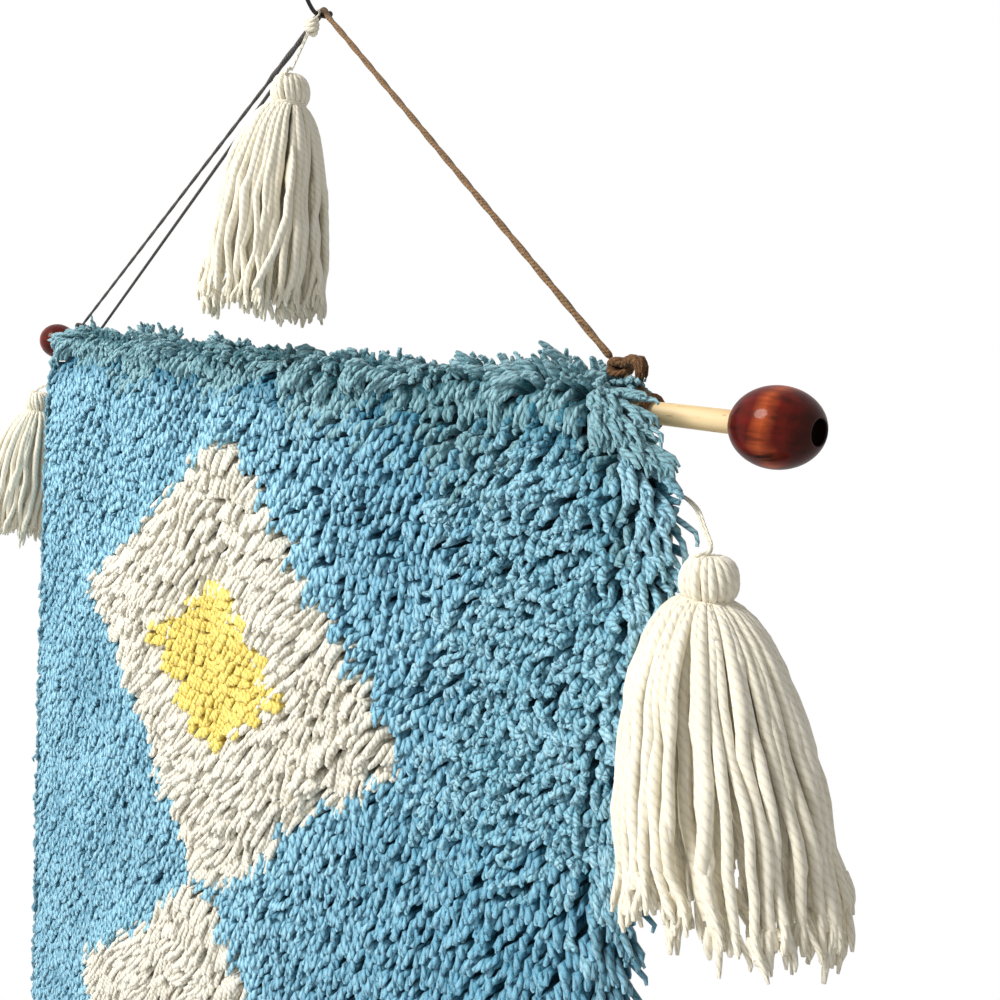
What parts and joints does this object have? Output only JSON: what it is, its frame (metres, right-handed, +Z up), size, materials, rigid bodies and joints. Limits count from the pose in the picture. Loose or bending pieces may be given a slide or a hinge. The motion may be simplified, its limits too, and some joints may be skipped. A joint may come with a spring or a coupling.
{
  "type": "latch hook wall hanging with dowel, tassels and wall hook",
  "caption": "Knotted yarn wall panel on a wooden dowel with turned end beads, hung by a braided cord from a wall hook, with yarn tassels at its sides and top.",
  "frame": {"origin": "middle of the back face of the wall hook's round plate, on the wall", "axes": "+Z up; the wall is the plane Y = 0 and the panel faces -Y; +X is to the viewer's right"},
  "size_m": [0.9229, 0.0837, 1.256],
  "materials": {
    "canvas": "stiff open cotton rug canvas",
    "pile_blue": "knotted plied yarn pile, matt",
    "pile_cream": "long knotted plied yarn pile, matt",
    "pile_yellow": "short tight plied yarn pile, matt",
    "dowel": "bare pale hardwood, lightly waxed",
    "bead": "dark red-brown stain under gloss varnish",
    "hook": "dark steel wire, satin",
    "cord": "braided brown cord, matt",
    "tassel_yarn": "thick plied wool yarn, matt"
  },
  "bodies": {
    "root": {"canvas": "canvas", "pile": "pile_blue", "dowel": "dowel", "bead_right": "bead", "bead_left": "bead", "wall_hook": "hook", "hanger_cord": "cord", "return_cord": "cord", "knot_right": "cord", "knot_left": "cord", "knot_join": "cord", "tassel_top_head": "tassel_yarn", "tassel_top_binding": "tassel_yarn", "tassel_top_skirt": "tassel_yarn", "tassel_right_head": "tassel_yarn", "tassel_right_binding": "tassel_yarn", "tassel_right_skirt": "tassel_yarn", "tassel_left_head": "tassel_yarn", "tassel_left_binding": "tassel_yarn", "tassel_left_skirt": "tassel_yarn", "tassel_right_tie": "tassel_yarn", "tassel_left_tie": "tassel_yarn", "tassel_top_tie": "tassel_yarn", "tassel_top_knot": "tassel_yarn", "tassel_top_loop": "tassel_yarn"}
  },
  "joints": []
}
